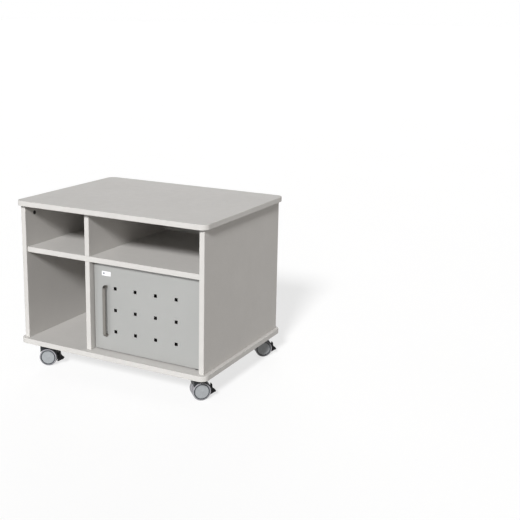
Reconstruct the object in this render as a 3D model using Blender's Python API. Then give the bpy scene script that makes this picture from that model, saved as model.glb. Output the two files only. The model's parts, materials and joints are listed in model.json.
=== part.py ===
"""Mobile printer stand: a four-compartment board cabinet with a perforated steel door, on four braked twin-wheel casters.

Metres, +Z up. The origin is on the floor, under the middle of the top board. -Y is the front, +X is the right side
seen from the front.
"""

import math

import bmesh
import bpy
from mathutils import Matrix, Vector

MM = 0.001

# Overall size and board stock
WIDTH = 800 * MM
DEPTH = 600 * MM
HEIGHT = 633 * MM
BOARD = 19 * MM
BAND = 2 * MM  # ABS edge band
FIT = 0.3 * MM  # gap between two pieces that touch
CORNER = 29 * MM  # plan radius of the top and bottom boards
CORNER_STEPS = 7

# Carcass layout
CASTER_HEIGHT = 90 * MM
SIDE_OVERHANG = 14 * MM  # top and bottom boards past the side panels
FRONT_OVERHANG = 17 * MM
SHELF_RECESS = 24 * MM  # shelf and dividers behind the top board's front edge
SHELF_TOP = CASTER_HEIGHT + 368 * MM
DIVIDER_X = -96.8 * MM
BACK_Y = 225 * MM  # front face of the back panel
BACK_THICKNESS = 8 * MM

FRONT_Y = -DEPTH / 2
BOTTOM_TOP = CASTER_HEIGHT + BOARD
TOP_UNDER = HEIGHT - BOARD
SIDE_OUTER = WIDTH / 2 - SIDE_OVERHANG
SIDE_INNER = SIDE_OUTER - BOARD
SIDE_Y = DEPTH / 2 - FRONT_OVERHANG
SHELF_FRONT = FRONT_Y + SHELF_RECESS
SHELF_UNDER = SHELF_TOP - BOARD

# Cam fittings that draw the side panels to the top board
CAM_RADIUS = 7.5 * MM
CAM_DEPTH = 12 * MM
CAM_FROM_EDGE = 52 * MM
CAM_BELOW_TOP = 35 * MM

# Door: a folded sheet-steel tray between the lower divider and the right side panel
DOOR_GAP = 3 * MM
DOOR_GAP_BELOW = 3.8 * MM
DOOR_GAP_ABOVE = 7.5 * MM  # the shelf's front edge hides most of it
DOOR_FRONT = FRONT_Y + 47 * MM
DOOR_THICKNESS = 16 * MM
SHEET = 1.2 * MM
LIP = 12 * MM  # folded return along the tray's back edge
DOOR_LEFT = DIVIDER_X + BOARD / 2 + 3.3 * MM
DOOR_RIGHT = SIDE_INNER - DOOR_GAP
DOOR_BOTTOM = BOTTOM_TOP + DOOR_GAP_BELOW
DOOR_TOP = SHELF_UNDER - DOOR_GAP_ABOVE
PIVOT = Vector((DOOR_RIGHT - 14 * MM, DOOR_FRONT + DOOR_THICKNESS / 2, 0))
PIVOT_PIN = 3 * MM
PIVOT_PIN_LENGTH = 11 * MM
PIVOT_CLEARANCE = 0.4 * MM

# Square perforations
HOLE = 12.5 * MM
HOLE_COLUMNS = 4
HOLE_ROWS = 3
HOLE_PITCH_X = 84.3 * MM
HOLE_PITCH_Z = 80.2 * MM
HOLE_FIRST_X = 6.6 * MM
HOLE_FIRST_Z = CASTER_HEIGHT + 97.6 * MM

# Bow handle and its screws
HANDLE_X = -32.5 * MM
HANDLE_MIDDLE_Z = CASTER_HEIGHT + 171 * MM
HANDLE_FOOT_SPACING = 180 * MM
HANDLE_STANDOFF = 14 * MM
HANDLE_HALF_WIDTH = 5.8 * MM
HANDLE_HALF_DEPTH = 3.2 * MM
SCREW_SHANK = 2 * MM
SCREW_HEAD = 4 * MM
SCREW_BORE = 2.3 * MM
SCREW_REACH = 7 * MM

# Label plate
LABEL_WIDTH = 38.5 * MM
LABEL_HEIGHT = 16.5 * MM
LABEL_THICKNESS = 0.5 * MM
LABEL_X = -30.8 * MM
LABEL_Z = CASTER_HEIGHT + 308.5 * MM

# Casters: place of each stem, and the angle that its wheels stand at
CASTER_X = 330 * MM
CASTER_FRONT_Y = FRONT_Y + 56 * MM
CASTER_REAR_Y = -FRONT_Y - 60 * MM
CASTERS = {
    "front_left": (-CASTER_X, CASTER_FRONT_Y, 24),
    "front_right": (CASTER_X, CASTER_FRONT_Y, 44),
    "rear_left": (-CASTER_X, CASTER_REAR_Y, 33),
    "rear_right": (CASTER_X, CASTER_REAR_Y, 40),
}
WHEEL_RADIUS = 32.5 * MM
RIM_RADIUS = 28.2 * MM
TREAD_INNER = 28.5 * MM
TRAIL = 19 * MM  # stem axis to axle
WEB = 4 * MM  # half the thickness of the hood's middle web
WHEEL_INNER = 4.8 * MM
WHEEL_OUTER = 25.4 * MM
HOOD_HALF = 25.8 * MM
AXLE_RADIUS = 3 * MM
AXLE_BORE = 3.4 * MM
AXLE_HALF = 17 * MM
STEM_RADIUS = 5 * MM
STEM_BORE = 5.4 * MM
STEM_LENGTH = 15 * MM
PLATE = 50 * MM
PLATE_THICKNESS = 2.5 * MM
COLLAR_RADIUS = 8.6 * MM
HOOD_TOP = 49 * MM  # above the axle
HOOD_INNER = 33.8 * MM
LEVER_PIVOT = Vector((37.5 * MM, 0, -8 * MM))  # from the axle
LEVER_HALF = 8.5 * MM
LEVER_PIN = 1.5 * MM
ROUND = 24  # sides of a wheel
SMALL_ROUND = 16  # sides of a pin


def material(name, colour, roughness, metallic=0.0):
    made = bpy.data.materials.new(name)
    made.use_nodes = True
    shader = made.node_tree.nodes["Principled BSDF"]
    shader.inputs["Base Color"].default_value = (*colour, 1)
    shader.inputs["Roughness"].default_value = roughness
    shader.inputs["Metallic"].default_value = metallic
    return made


def new_object(name, bm, mat, parent=None, smooth=False):
    """A mesh object from bm, with its faces turned outwards."""
    bmesh.ops.remove_doubles(bm, verts=bm.verts, dist=1e-6)
    bmesh.ops.recalc_face_normals(bm, faces=bm.faces)
    mesh = bpy.data.meshes.new(name)
    bm.to_mesh(mesh)
    bm.free()
    if smooth:
        mesh.shade_smooth()
        mesh.set_sharp_from_angle(angle=math.radians(35))
    made = bpy.data.objects.new(name, mesh)
    bpy.context.scene.collection.objects.link(made)
    made.data.materials.append(mat)
    made.parent = parent
    return made


def add_box(bm, low, high):
    low, high = Vector(low), Vector(high)
    size = high - low
    place = Matrix.Translation((low + high) / 2) @ Matrix.Diagonal((*size, 1))
    bmesh.ops.create_cube(bm, size=1, matrix=place)


def box(name, low, high, mat, parent=None):
    bm = bmesh.new()
    add_box(bm, low, high)
    return new_object(name, bm, mat, parent)


def prism(bm, outline, axis, low, high):
    """The closed outline, extruded along axis 'y' or 'z' from low to high. A 'y' outline is in X and Z."""
    if axis == "z":
        points = [(u, v, low) for u, v in outline]
        travel = (0, 0, high - low)
    else:
        points = [(u, low, v) for u, v in outline]
        travel = (0, high - low, 0)
    face = bm.faces.new([bm.verts.new(p) for p in points])
    grown = bmesh.ops.extrude_face_region(bm, geom=[face], use_keep_orig=True)
    moved = [v for v in grown["geom"] if isinstance(v, bmesh.types.BMVert)]
    bmesh.ops.translate(bm, verts=moved, vec=travel)


def turned(bm, profile, axis, steps):
    """The profile of (radius, height) points, spun round the 'y' or 'z' axis into a closed body."""
    if axis == "z":
        points = [(r, 0, h) for r, h in profile]
        spin_axis = (0, 0, 1)
    else:
        points = [(r, h, 0) for r, h in profile]
        spin_axis = (0, 1, 0)
    verts = [bm.verts.new(p) for p in points]
    edges = [bm.edges.new(pair) for pair in zip(verts, verts[1:])]
    if profile[0][0] > 0:
        edges.append(bm.edges.new((verts[-1], verts[0])))
    bmesh.ops.spin(
        bm,
        geom=verts + edges,
        cent=(0, 0, 0),
        axis=spin_axis,
        angle=math.tau,
        steps=steps,
        use_merge=True,
        use_duplicate=False,
    )
    bmesh.ops.remove_doubles(bm, verts=bm.verts, dist=1e-6)


def arc(centre, radius, start, end, steps):
    """Points on an arc in the plane, from angle start to end in degrees."""
    turn = (end - start) / steps
    angles = [math.radians(start + turn * i) for i in range(steps + 1)]
    return [(centre[0] + radius * math.cos(a), centre[1] + radius * math.sin(a)) for a in angles]


def rounded_plan(half_x, half_y, radius):
    """A rounded rectangle's outline, anticlockwise."""
    points = []
    for corner in range(4):
        sx = 1 if corner in (0, 3) else -1
        sy = 1 if corner in (0, 1) else -1
        centre = (sx * (half_x - radius), sy * (half_y - radius))
        points += arc(centre, radius, corner * 90, corner * 90 + 90, CORNER_STEPS)
    return points


def cut(target, cutter, operation="DIFFERENCE"):
    """A Boolean that keeps its cutter out of the build."""
    cutter.hide_render = True
    cutter.display_type = "WIRE"
    step = target.modifiers.new(cutter.name, "BOOLEAN")
    step.operation = operation
    step.solver = "EXACT"
    step.object = cutter


def empty(name, place, parent=None, turn=0.0):
    made = bpy.data.objects.new(name, None)
    bpy.context.scene.collection.objects.link(made)
    made.parent = parent
    made.location = place
    made.rotation_euler = (0, 0, math.radians(turn))
    return made


def banded_board(name, band_name, low_z, mats):
    """A round-cornered board and the closed loop of edge band round it."""
    core = rounded_plan(WIDTH / 2 - BAND - FIT, DEPTH / 2 - BAND - FIT, CORNER - BAND - FIT)
    bm = bmesh.new()
    prism(bm, core, "z", low_z, low_z + BOARD)
    new_object(name, bm, mats["board"])

    outer = rounded_plan(WIDTH / 2, DEPTH / 2, CORNER)
    inner = rounded_plan(WIDTH / 2 - BAND, DEPTH / 2 - BAND, CORNER - BAND)
    bm = bmesh.new()
    rings = []
    for outline, z in ((outer, low_z), (outer, low_z + BOARD), (inner, low_z + BOARD), (inner, low_z)):
        rings.append([bm.verts.new((x, y, z)) for x, y in outline])
    count = len(outer)
    for near, far in zip(rings, rings[1:] + rings[:1]):
        for i in range(count):
            j = (i + 1) % count
            bm.faces.new((near[i], near[j], far[j], far[i]))
    new_object(band_name, bm, mats["band"], smooth=True)


def side_panel(side, sign, mats):
    """One side panel with its front edge band and the two cam fittings in its inner face."""
    inner, outer = sorted((sign * SIDE_INNER, sign * SIDE_OUTER))
    low_z, high_z = BOTTOM_TOP + FIT, TOP_UNDER - FIT
    panel = box(
        f"{side}_side_panel",
        (inner, -SIDE_Y + BAND + FIT, low_z),
        (outer, SIDE_Y, high_z),
        mats["board"],
    )
    box(
        f"{side}_side_edge_band",
        (inner, -SIDE_Y, low_z),
        (outer, -SIDE_Y + BAND, high_z),
        mats["band"],
    )
    to_inside = Matrix.Rotation(math.radians(90 * sign), 4, "Z")
    pockets = bmesh.new()
    for place, y in (("front", -SIDE_Y + CAM_FROM_EDGE), ("rear", SIDE_Y - CAM_FROM_EDGE)):
        centre = Matrix.Translation((sign * SIDE_INNER, y, TOP_UNDER - CAM_BELOW_TOP))
        pocket = bmesh.new()
        reach = CAM_DEPTH + FIT
        turned(pocket, [(0, -reach), (CAM_RADIUS + FIT, -reach), (CAM_RADIUS + FIT, MM), (0, MM)], "y", SMALL_ROUND)
        bmesh.ops.transform(pocket, matrix=centre @ to_inside, verts=pocket.verts)
        pocket_mesh = bpy.data.meshes.new("pocket")
        pocket.to_mesh(pocket_mesh)
        pocket.free()
        pockets.from_mesh(pocket_mesh)

        bm = bmesh.new()
        chamfer = 0.6 * MM
        turned(
            bm,
            [(0, -CAM_DEPTH), (CAM_RADIUS, -CAM_DEPTH), (CAM_RADIUS, -chamfer), (CAM_RADIUS - chamfer, 0), (0, 0)],
            "y",
            SMALL_ROUND,
        )
        fitting = new_object(f"{side}_{place}_cam_fitting", bm, mats["zinc"], smooth=True)
        fitting.matrix_world = centre @ to_inside
        slot = bmesh.new()
        add_box(slot, (-5.5 * MM, -1.6 * MM, -0.9 * MM), (5.5 * MM, 2 * MM, 0.9 * MM))
        slot_cutter = new_object(f"{side}_{place}_cam_slot", slot, mats["zinc"])
        slot_cutter.matrix_world = centre @ to_inside
        cut(fitting, slot_cutter)
    cut(panel, new_object(f"{side}_cam_pockets", pockets, mats["board"]))


def carcass(mats):
    banded_board("top_panel", "top_edge_band", TOP_UNDER, mats)
    banded_board("bottom_panel", "bottom_edge_band", CASTER_HEIGHT, mats)
    side_panel("left", -1, mats)
    side_panel("right", 1, mats)

    inside = SIDE_INNER - FIT
    board_front = SHELF_FRONT + BAND + FIT
    board_back = BACK_Y - FIT
    band_back = SHELF_FRONT + BAND
    box("middle_shelf", (-inside, board_front, SHELF_UNDER), (inside, board_back, SHELF_TOP), mats["board"])
    box("shelf_edge_band", (-inside, SHELF_FRONT, SHELF_UNDER), (inside, band_back, SHELF_TOP), mats["band"])

    left, right = DIVIDER_X - BOARD / 2, DIVIDER_X + BOARD / 2
    stretches = {
        "upper_divider": (SHELF_TOP + FIT, TOP_UNDER - FIT),
        "lower_divider": (BOTTOM_TOP + FIT, SHELF_UNDER - FIT),
    }
    for name, (low_z, high_z) in stretches.items():
        box(name, (left, board_front, low_z), (right, board_back, high_z), mats["board"])
        box(f"{name}_edge_band", (left, SHELF_FRONT, low_z), (right, band_back, high_z), mats["band"])
    box(
        "back_panel",
        (-inside, BACK_Y, BOTTOM_TOP + FIT),
        (inside, BACK_Y + BACK_THICKNESS, TOP_UNDER - FIT),
        mats["board"],
    )


def handle_path():
    """Centre line of the bow handle in Y and Z from foot to foot, with factors for its width and its depth."""
    foot = HANDLE_FOOT_SPACING / 2
    lower = [
        (-FIT, -foot, 1.1, 1.4),
        (-SCREW_REACH - MM, -foot, 1.1, 1.4),
        (-HANDLE_STANDOFF + 3.7 * MM, -foot + 1.3 * MM, 1.05, 1.2),
        (-HANDLE_STANDOFF + 1.6 * MM, -foot + 3.8 * MM, 1.0, 1.0),
        (-HANDLE_STANDOFF + 0.4 * MM, -foot + 7 * MM, 1.0, 1.0),
        (-HANDLE_STANDOFF, -foot + 11 * MM, 1.0, 1.0),
    ]
    upper = [(y, -z, wide, deep) for y, z, wide, deep in reversed(lower)]
    return lower + upper


def door_handle(parent, mats):
    """A bow handle swept along its path with a rounded section, and bored for its two screws."""
    section = []
    round_steps = 3
    corner = 1.6 * MM
    for quarter, (sx, sy) in enumerate(((1, 1), (-1, 1), (-1, -1), (1, -1))):
        centre = (sx * (HANDLE_HALF_WIDTH - corner), sy * (HANDLE_HALF_DEPTH - corner))
        section += arc(centre, corner, quarter * 90, quarter * 90 + 90, round_steps)
    path = handle_path()
    bm = bmesh.new()
    rings = []
    for i, (y, z, wide, deep) in enumerate(path):
        before = Vector(path[max(i - 1, 0)][:2])
        after = Vector(path[min(i + 1, len(path) - 1)][:2])
        along = (after - before).normalized()
        across = Vector((-along.y, along.x))
        ring = []
        for u, v in section:
            point = Vector((y, z)) + across * v * deep
            ring.append(bm.verts.new((HANDLE_X + u * wide, DOOR_FRONT + point.x, HANDLE_MIDDLE_Z + point.y)))
        rings.append(ring)
    count = len(section)
    for near, far in zip(rings, rings[1:]):
        for i in range(count):
            j = (i + 1) % count
            bm.faces.new((near[i], near[j], far[j], far[i]))
    bm.faces.new(rings[0])
    bm.faces.new(rings[-1])
    handle = new_object("door_handle", bm, mats["nickel"], smooth=True)

    bores = bmesh.new()
    for sign in (-1, 1):
        z = HANDLE_MIDDLE_Z + sign * HANDLE_FOOT_SPACING / 2
        bore = cylinder_between(SCREW_BORE, DOOR_FRONT - SCREW_REACH - FIT, DOOR_FRONT + MM, HANDLE_X, z, 12)
        bores.from_mesh(bore)
    cut(handle, new_object("handle_bores", bores, mats["nickel"]))
    in_parent(handle, parent)


def cylinder_between(radius, low_y, high_y, x, z, steps):
    """Mesh of a plain cylinder along Y."""
    bm = bmesh.new()
    turned(bm, [(0, low_y), (radius, low_y), (radius, high_y), (0, high_y)], "y", steps)
    bmesh.ops.translate(bm, verts=bm.verts, vec=(x, 0, z))
    mesh = bpy.data.meshes.new("cylinder")
    bm.to_mesh(mesh)
    bm.free()
    return mesh


def in_parent(made, parent):
    """Parents made and keeps it where it is in the world."""
    made.parent = parent
    made.matrix_parent_inverse = parent.matrix_world.inverted()


def door(mats):
    """The hinged door with its handle, screws and label, on an empty that stands on the pivot axis."""
    hinge = empty("door_pivot", PIVOT)
    bpy.context.view_layer.update()

    back = DOOR_FRONT + DOOR_THICKNESS
    panel = box(
        "door_panel",
        (DOOR_LEFT, DOOR_FRONT, DOOR_BOTTOM),
        (DOOR_RIGHT, back, DOOR_TOP),
        mats["steel_sheet"],
    )
    hollow = bmesh.new()
    add_box(
        hollow,
        (DOOR_LEFT + SHEET, DOOR_FRONT + SHEET, DOOR_BOTTOM + SHEET),
        (DOOR_RIGHT - SHEET, back - SHEET, DOOR_TOP - SHEET),
    )
    cut(panel, new_object("door_hollow", hollow, mats["steel_sheet"]))
    mouth = bmesh.new()
    add_box(
        mouth,
        (DOOR_LEFT + LIP, back - 2 * SHEET, DOOR_BOTTOM + LIP),
        (DOOR_RIGHT - LIP, back + MM, DOOR_TOP - LIP),
    )
    cut(panel, new_object("door_mouth", mouth, mats["steel_sheet"]))

    holes = bmesh.new()
    for column in range(HOLE_COLUMNS):
        for row in range(HOLE_ROWS):
            x = HOLE_FIRST_X + column * HOLE_PITCH_X
            z = HOLE_FIRST_Z + row * HOLE_PITCH_Z
            add_box(
                holes,
                (x - HOLE / 2, DOOR_FRONT - MM, z - HOLE / 2),
                (x + HOLE / 2, DOOR_FRONT + 3 * SHEET, z + HOLE / 2),
            )
    cut(panel, new_object("door_perforations", holes, mats["steel_sheet"]))

    bores = bmesh.new()
    bore_radius = PIVOT_PIN + PIVOT_CLEARANCE
    for low_z, high_z in ((DOOR_BOTTOM - MM, DOOR_BOTTOM + 3 * SHEET), (DOOR_TOP - 3 * SHEET, DOOR_TOP + MM)):
        bore = bmesh.new()
        turned(bore, [(0, low_z), (bore_radius, low_z), (bore_radius, high_z), (0, high_z)], "z", SMALL_ROUND)
        bmesh.ops.translate(bore, verts=bore.verts, vec=PIVOT)
        mesh = bpy.data.meshes.new("pivot_bore")
        bore.to_mesh(mesh)
        bore.free()
        bores.from_mesh(mesh)
    for sign in (-1, 1):
        z = HANDLE_MIDDLE_Z + sign * HANDLE_FOOT_SPACING / 2
        bores.from_mesh(cylinder_between(SCREW_BORE, DOOR_FRONT - MM, DOOR_FRONT + 3 * SHEET, HANDLE_X, z, 12))
    cut(panel, new_object("door_bores", bores, mats["steel_sheet"]))
    in_parent(panel, hinge)

    door_handle(hinge, mats)
    for place, sign in (("lower", -1), ("upper", 1)):
        z = HANDLE_MIDDLE_Z + sign * HANDLE_FOOT_SPACING / 2
        head = DOOR_FRONT + SHEET + FIT
        profile = [
            (0, DOOR_FRONT - SCREW_REACH),
            (SCREW_SHANK, DOOR_FRONT - SCREW_REACH),
            (SCREW_SHANK, head),
            (SCREW_HEAD, head),
            (SCREW_HEAD, head + 1.4 * MM),
            (SCREW_HEAD * 0.6, head + 2.4 * MM),
            (0, head + 2.4 * MM),
        ]
        bm = bmesh.new()
        turned(bm, profile, "y", 16)
        bmesh.ops.translate(bm, verts=bm.verts, vec=(HANDLE_X, 0, z))
        in_parent(new_object(f"{place}_handle_screw", bm, mats["zinc"], smooth=True), hinge)

    label_back = DOOR_FRONT - FIT
    label = box(
        "door_label",
        (LABEL_X - LABEL_WIDTH / 2, label_back - LABEL_THICKNESS, LABEL_Z - LABEL_HEIGHT / 2),
        (LABEL_X + LABEL_WIDTH / 2, label_back, LABEL_Z + LABEL_HEIGHT / 2),
        mats["label"],
    )
    in_parent(label, hinge)


def pivot_brackets(mats):
    """The two steel plates, one on the bottom board and one under the shelf, whose pins carry the door."""
    thickness = 1.5 * MM
    along, across = 15 * MM, 7 * MM
    for place, sign, seat in (("lower", 1, BOTTOM_TOP), ("upper", -1, SHELF_UNDER)):
        near = seat + sign * FIT
        far = near + sign * thickness
        low_z, high_z = sorted((near, far))
        bracket = box(
            f"{place}_pivot_bracket",
            (PIVOT.x - along, PIVOT.y - across, low_z),
            (PIVOT.x + along, PIVOT.y + across, high_z),
            mats["zinc"],
        )
        tip = far + sign * PIVOT_PIN_LENGTH
        low_pin, high_pin = sorted((near + sign * thickness / 2, tip))
        bm = bmesh.new()
        turned(bm, [(0, low_pin), (PIVOT_PIN, low_pin), (PIVOT_PIN, high_pin), (0, high_pin)], "z", SMALL_ROUND)
        bmesh.ops.translate(bm, verts=bm.verts, vec=PIVOT)
        cut(bracket, new_object(f"{place}_pivot_pin", bm, mats["zinc"]), "UNION")


def magnetic_catch(mats):
    """The catch under the shelf whose magnet holds the door's folded lip."""
    back = DOOR_FRONT + DOOR_THICKNESS + 2 * FIT
    box(
        "magnetic_catch",
        (DOOR_LEFT + 14 * MM, back, SHELF_UNDER - FIT - 13 * MM),
        (DOOR_LEFT + 60 * MM, back + 15 * MM, SHELF_UNDER - FIT),
        mats["black_plastic"],
    )


def hood_profile():
    """Side outline of the caster's hood in X and Z from the axle: a fender over the wheels, with a flat top."""
    crown = [
        (10.5 * MM, 39.5 * MM),
        (4.5 * MM, HOOD_TOP - 1.5 * MM),
        (1.5 * MM, HOOD_TOP),
        (-26.5 * MM, HOOD_TOP),
        (-28 * MM, HOOD_TOP - 1.5 * MM),
        (-28 * MM, 22 * MM),
    ]
    return arc((0, 0), 35.8 * MM, 5, 56, 7) + crown + arc((0, 0), HOOD_INNER, 145, 5, 12)


def web_profile():
    """Outline of the hood's middle web, which holds the axle and carries the brake lever's pivot."""
    pivot = (LEVER_PIVOT.x, LEVER_PIVOT.z)
    return [
        (-24 * MM, 38 * MM),
        (-24 * MM, 8 * MM),
        *arc((0, 0), 10 * MM, 200, 280, 5),
        *arc(pivot, 3.4 * MM, 250, 470, 8),
        (29 * MM, 8 * MM),
        (23.5 * MM, 25.5 * MM),
        (8 * MM, 37 * MM),
    ]


def lever_profile():
    """Side outline of the brake lever: a tongue that stands up, a pedal tip, and a shoe behind the wheels."""
    return [
        (39.4 * MM, 17.5 * MM),
        (38.2 * MM, 16.7 * MM),
        (36.9 * MM, 12 * MM),
        (36.8 * MM, -3.1 * MM),
        (34 * MM, -4.6 * MM),
        (33.1 * MM, -8.8 * MM),
        (31.2 * MM, -14.2 * MM),
        (30.6 * MM, -19.2 * MM),
        (33.5 * MM, -20.5 * MM),
        (40.5 * MM, -17 * MM),
        (47.5 * MM, -13 * MM),
        (52.3 * MM, -11.6 * MM),
        (54.6 * MM, -9.8 * MM),
        (54.4 * MM, -7.2 * MM),
        (49.5 * MM, -3.8 * MM),
        (45 * MM, -0.3 * MM),
        (42.6 * MM, 4 * MM),
        (41.4 * MM, 9.5 * MM),
        (40.6 * MM, 16.8 * MM),
    ]


def caster(name, mats):
    """One twin-wheel caster. Its empty stands on the stem's axis, and its local +X points to the axle's side."""
    x, y, turn = CASTERS[name]
    stem = empty(f"{name}_caster_stem", (x, y, 0), turn=turn)
    axle_line = empty(f"{name}_caster_axle_line", (TRAIL, 0, WHEEL_RADIUS), stem)
    under_board = CASTER_HEIGHT - FIT
    plate_under = under_board - PLATE_THICKNESS

    bm = bmesh.new()
    half = PLATE / 2
    prism(bm, rounded_plan(half, half, 6 * MM), "z", plate_under, under_board)
    plate = new_object(f"{name}_caster_plate", bm, mats["zinc"])
    plate.location = (x, y, 0)
    pin = bmesh.new()
    pin_profile = [
        (0, plate_under - STEM_LENGTH),
        (STEM_RADIUS, plate_under - STEM_LENGTH),
        (STEM_RADIUS, plate_under + PLATE_THICKNESS / 2),
        (0, plate_under + PLATE_THICKNESS / 2),
    ]
    turned(pin, pin_profile, "z", SMALL_ROUND)
    stem_pin = new_object(f"{name}_caster_stem_pin", pin, mats["zinc"])
    stem_pin.location = (x, y, 0)
    cut(plate, stem_pin, "UNION")

    bm = bmesh.new()
    prism(bm, hood_profile(), "y", -HOOD_HALF, HOOD_HALF)
    hood = new_object(f"{name}_caster_hood", bm, mats["black_plastic"], axle_line)
    web = bmesh.new()
    prism(web, web_profile(), "y", -WEB, WEB)
    cut(hood, new_object(f"{name}_hood_web", web, mats["black_plastic"], axle_line), "UNION")
    collar = bmesh.new()
    collar_top = plate_under - FIT - WHEEL_RADIUS
    turned(
        collar,
        [(0, HOOD_TOP - 4 * MM), (COLLAR_RADIUS, HOOD_TOP - 4 * MM), (COLLAR_RADIUS, collar_top), (0, collar_top)],
        "z",
        SMALL_ROUND,
    )
    bmesh.ops.translate(collar, verts=collar.verts, vec=(-TRAIL, 0, 0))
    cut(hood, new_object(f"{name}_hood_collar", collar, mats["black_plastic"], axle_line), "UNION")
    stem_bore = bmesh.new()
    bore_low = plate_under - STEM_LENGTH - WHEEL_RADIUS - FIT
    turned(
        stem_bore,
        [(0, bore_low), (STEM_BORE, bore_low), (STEM_BORE, collar_top + MM), (0, collar_top + MM)],
        "z",
        SMALL_ROUND,
    )
    bmesh.ops.translate(stem_bore, verts=stem_bore.verts, vec=(-TRAIL, 0, 0))
    cut(hood, new_object(f"{name}_stem_bore", stem_bore, mats["black_plastic"], axle_line))
    cross = bmesh.new()
    cross.from_mesh(cylinder_between(AXLE_BORE, -2 * WEB, 2 * WEB, 0, 0, SMALL_ROUND))
    cross.from_mesh(cylinder_between(LEVER_PIN + FIT, -2 * WEB, 2 * WEB, LEVER_PIVOT.x, LEVER_PIVOT.z, 12))
    cut(hood, new_object(f"{name}_cross_bores", cross, mats["black_plastic"], axle_line))

    bm = bmesh.new()
    bm.from_mesh(cylinder_between(AXLE_RADIUS, -AXLE_HALF, AXLE_HALF, 0, 0, SMALL_ROUND))
    new_object(f"{name}_caster_axle", bm, mats["zinc"], axle_line, smooth=True)

    for which, sign in (("outer", -1), ("inner", 1)):
        wheel(f"{name}_{which}", sign, axle_line, mats)
    brake_lever(name, axle_line, mats)


def wheel(name, sign, parent, mats):
    """One wheel on the axle, on the -Y side for sign -1, and its soft tread."""
    face = sign * WHEEL_OUTER
    profile = [
        (0, face),
        (24 * MM, sign * 24.6 * MM),
        (24.6 * MM, sign * 23.2 * MM),
        (26.8 * MM, sign * 23.2 * MM),
        (RIM_RADIUS, sign * 24.6 * MM),
        (RIM_RADIUS, sign * WHEEL_INNER),
        (AXLE_BORE, sign * WHEEL_INNER),
        (AXLE_BORE, sign * (AXLE_HALF + FIT)),
        (0, sign * (AXLE_HALF + FIT)),
    ]
    bm = bmesh.new()
    turned(bm, profile, "y", ROUND)
    new_object(f"{name}_wheel", bm, mats["wheel_plastic"], parent, smooth=True)

    shoulder = 1.6 * MM
    low, high = sign * (WHEEL_INNER + 0.2 * MM), sign * 25 * MM
    tread = [
        (TREAD_INNER, low),
        (WHEEL_RADIUS - shoulder, low),
        (WHEEL_RADIUS, low + sign * shoulder),
        (WHEEL_RADIUS, high - sign * 2 * shoulder),
        (WHEEL_RADIUS - shoulder, high),
        (TREAD_INNER, high),
    ]
    bm = bmesh.new()
    turned(bm, tread, "y", ROUND)
    new_object(f"{name}_tread", bm, mats["soft_tread"], parent, smooth=True)


def brake_lever(name, parent, mats):
    """The foot lever behind the wheels. It straddles the hood's web and turns on a pin moulded into it."""
    pivot = empty(f"{name}_brake_pivot", LEVER_PIVOT, parent)
    from_pivot = Matrix.Translation(-LEVER_PIVOT)
    bm = bmesh.new()
    prism(bm, lever_profile(), "y", -LEVER_HALF, LEVER_HALF)
    bmesh.ops.transform(bm, matrix=from_pivot, verts=bm.verts)
    lever = new_object(f"{name}_brake_lever", bm, mats["black_plastic"], pivot)
    slot = bmesh.new()
    reach = 4.6 * MM
    half = WEB + 0.5 * MM
    slot_outline = arc((0, 0), reach, -90, 90, 6) + [(-12 * MM, reach), (-12 * MM, -reach)]
    prism(slot, slot_outline, "y", -half, half)
    cut(lever, new_object(f"{name}_lever_slot", slot, mats["black_plastic"], pivot))
    pin = bmesh.new()
    pin.from_mesh(cylinder_between(LEVER_PIN, -LEVER_HALF + MM, LEVER_HALF - MM, 0, 0, 12))
    cut(lever, new_object(f"{name}_lever_pin", pin, mats["black_plastic"], pivot), "UNION")


def main():
    for old in list(bpy.data.objects):
        bpy.data.objects.remove(old, do_unlink=True)
    mats = {
        "board": material("board_melamine", (0.51, 0.49, 0.47), 0.5),
        "band": material("edge_band", (0.78, 0.77, 0.74), 0.45),
        "steel_sheet": material("door_steel", (0.49, 0.5, 0.49), 0.4, 0.3),
        "nickel": material("handle_nickel", (0.32, 0.3, 0.28), 0.32, 1.0),
        "zinc": material("zinc_steel", (0.42, 0.42, 0.42), 0.4, 1.0),
        "label": material("label_film", (0.85, 0.85, 0.88), 0.4),
        "black_plastic": material("black_nylon", (0.02, 0.022, 0.025), 0.45),
        "wheel_plastic": material("wheel_nylon", (0.48, 0.52, 0.54), 0.4),
        "soft_tread": material("soft_tread", (0.38, 0.4, 0.43), 0.6),
    }
    carcass(mats)
    door(mats)
    pivot_brackets(mats)
    magnetic_catch(mats)
    for name in CASTERS:
        caster(name, mats)


main()
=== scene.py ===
"""Looks of the mobile printer stand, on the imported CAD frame.

Detailed pieces and procedural materials, with a white floor, two lights and the camera.
"""

import json
import math

import bmesh
import bpy
from mathutils import Matrix, Vector


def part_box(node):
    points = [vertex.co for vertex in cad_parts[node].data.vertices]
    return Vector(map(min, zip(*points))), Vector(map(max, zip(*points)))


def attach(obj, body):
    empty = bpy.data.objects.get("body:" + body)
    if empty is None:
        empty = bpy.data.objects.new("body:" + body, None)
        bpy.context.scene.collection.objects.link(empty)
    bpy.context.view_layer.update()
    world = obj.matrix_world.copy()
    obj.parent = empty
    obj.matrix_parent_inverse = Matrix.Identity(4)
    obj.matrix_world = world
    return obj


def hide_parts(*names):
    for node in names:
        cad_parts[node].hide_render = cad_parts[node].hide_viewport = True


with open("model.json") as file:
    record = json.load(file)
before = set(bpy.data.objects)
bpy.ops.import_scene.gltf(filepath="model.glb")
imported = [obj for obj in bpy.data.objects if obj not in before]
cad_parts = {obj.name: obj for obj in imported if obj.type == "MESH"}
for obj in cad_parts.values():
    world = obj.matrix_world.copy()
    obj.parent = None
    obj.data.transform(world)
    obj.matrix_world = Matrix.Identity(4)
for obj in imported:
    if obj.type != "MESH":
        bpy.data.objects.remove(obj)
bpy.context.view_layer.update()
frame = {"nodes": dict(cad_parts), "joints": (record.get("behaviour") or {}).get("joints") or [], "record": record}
MM = 0.001
JOINTS = {joint["name"]: joint for joint in frame["joints"]}
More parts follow.
